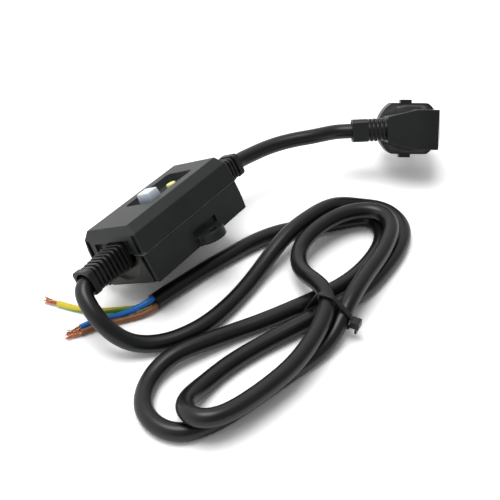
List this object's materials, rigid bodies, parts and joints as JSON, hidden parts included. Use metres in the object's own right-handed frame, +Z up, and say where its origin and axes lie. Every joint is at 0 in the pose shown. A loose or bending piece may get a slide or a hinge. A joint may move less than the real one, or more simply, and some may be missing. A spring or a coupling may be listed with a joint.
{
  "type": "in-line residual-current device cord set",
  "caption": "In-line residual-current device with reset and test buttons, ribbed reliefs, a short lead to an angled earthed plug and a tied load cord with stripped cores.",
  "frame": {"origin": "on the floor under the middle of the housing and its reliefs", "axes": "+X along the housing from the load cord to the plug lead, -Y towards the hank of cord, +Z up"},
  "size_m": [0.2782, 0.1447, 0.0502],
  "materials": {
    "shell": "fine-grained moulded black",
    "panel": "smooth dark gloss",
    "reset": "milky translucent moulding",
    "test": "pale yellow moulding",
    "relief_rubber": "satin moulded rubber",
    "cord_rubber": "satin cord sheath",
    "plug": "fine-grained moulded rubber",
    "tie": "smooth nylon",
    "pale_moulding": "plain moulding",
    "board": "lacquered board",
    "steel": "zinc plated",
    "nickel": "nickel plated",
    "core_iron": "wound strip core",
    "brass": "stamped",
    "copper": "bare copper",
    "blue_insulation": "satin insulation",
    "brown_insulation": "satin insulation",
    "earth_insulation": "striped insulation"
  },
  "bodies": {
    "base": {"lower_shell": "shell", "upper_shell": "shell", "shell_gasket": "relief_rubber", "housing_screws": "steel", "button_panel": "panel", "test_blade": "brass", "circuit_board": "board", "board_screws": "steel", "control_chip": "panel", "varistor": "blue_insulation", "test_resistor": "earth_insulation", "carrier_guide": "steel", "carrier_spring": "steel", "fixed_contacts": "brass", "trip_yoke": "steel", "trip_bobbin": "pale_moulding", "trip_coil": "copper", "plunger_spring": "steel", "transformer_core": "core_iron", "transformer_winding": "copper", "line_links": "brass", "earth_link": "earth_insulation", "line_terminals": "pale_moulding", "load_terminals": "pale_moulding", "terminal_screws": "steel", "line_cores": "blue_insulation", "load_cores": "brown_insulation", "line_clamp": "shell", "load_clamp": "shell", "clamp_screws": "steel", "line_relief": "relief_rubber", "load_relief": "relief_rubber", "lead_cord": "cord_rubber", "load_cord": "cord_rubber", "blue_core": "blue_insulation", "brown_core": "brown_insulation", "earth_core": "earth_insulation", "copper_ends": "copper", "cable_tie": "tie", "plug_body": "plug", "pin_bridge": "pale_moulding", "contact_pins": "nickel", "earth_clips": "nickel", "earth_socket": "nickel", "plug_cores": "brown_insulation"},
    "reset": {"reset_button": "reset"},
    "carrier": {"contact_carrier": "shell", "moving_contacts": "brass"},
    "test": {"test_button": "test"},
    "plunger": {"trip_plunger": "steel"}
  },
  "joints": [
    {"name": "reset_press", "type": "slide", "parent": "base", "child": "reset", "axis": [0, -0.5, -0.866], "range_m": [0, 0.0025], "stiffness_N_per_m": 400},
    {"name": "carrier_slide", "type": "slide", "parent": "base", "child": "carrier", "axis": [0, -0.5, -0.866], "range_m": [0, 0.0025], "stiffness_N_per_m": 400, "deforming": ["carrier_spring"]},
    {"name": "test_press", "type": "slide", "parent": "base", "child": "test", "axis": [0, -0.5, -0.866], "range_m": [0, 0.0012], "stiffness_N_per_m": 600, "deforming": ["test_blade"]},
    {"name": "trip_strike", "type": "slide", "parent": "base", "child": "plunger", "axis": [1, 0, 0], "range_m": [0, 0.0012], "stiffness_N_per_m": 400, "deforming": ["plunger_spring"]}
  ],
  "couplings": [
    {"joint": "carrier_slide", "follows": "reset_press", "ratio": 1}
  ]
}
